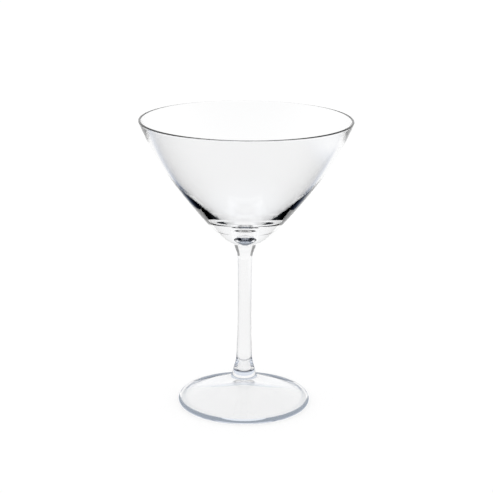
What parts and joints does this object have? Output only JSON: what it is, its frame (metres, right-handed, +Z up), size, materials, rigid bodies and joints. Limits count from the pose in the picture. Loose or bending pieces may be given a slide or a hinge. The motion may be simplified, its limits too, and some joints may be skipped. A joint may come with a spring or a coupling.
{
  "type": "martini glass",
  "caption": "Stemmed cocktail glass in clear glass: a wide conical bowl with a thin lip and heavy base, a slender solid stem and a broad round foot with a rounded edge.",
  "frame": {"origin": "centre of the ring under the foot, on the surface that the glass stands on", "axes": "+Z up along the glass's axis of revolution, from the foot to the open bowl; X and Y are any two level directions"},
  "size_m": [0.1184, 0.1184, 0.165],
  "materials": {
    "clear_glass": "clear, polished"
  },
  "bodies": {
    "root": {"bowl": "clear_glass", "stem": "clear_glass", "foot": "clear_glass"}
  },
  "joints": []
}
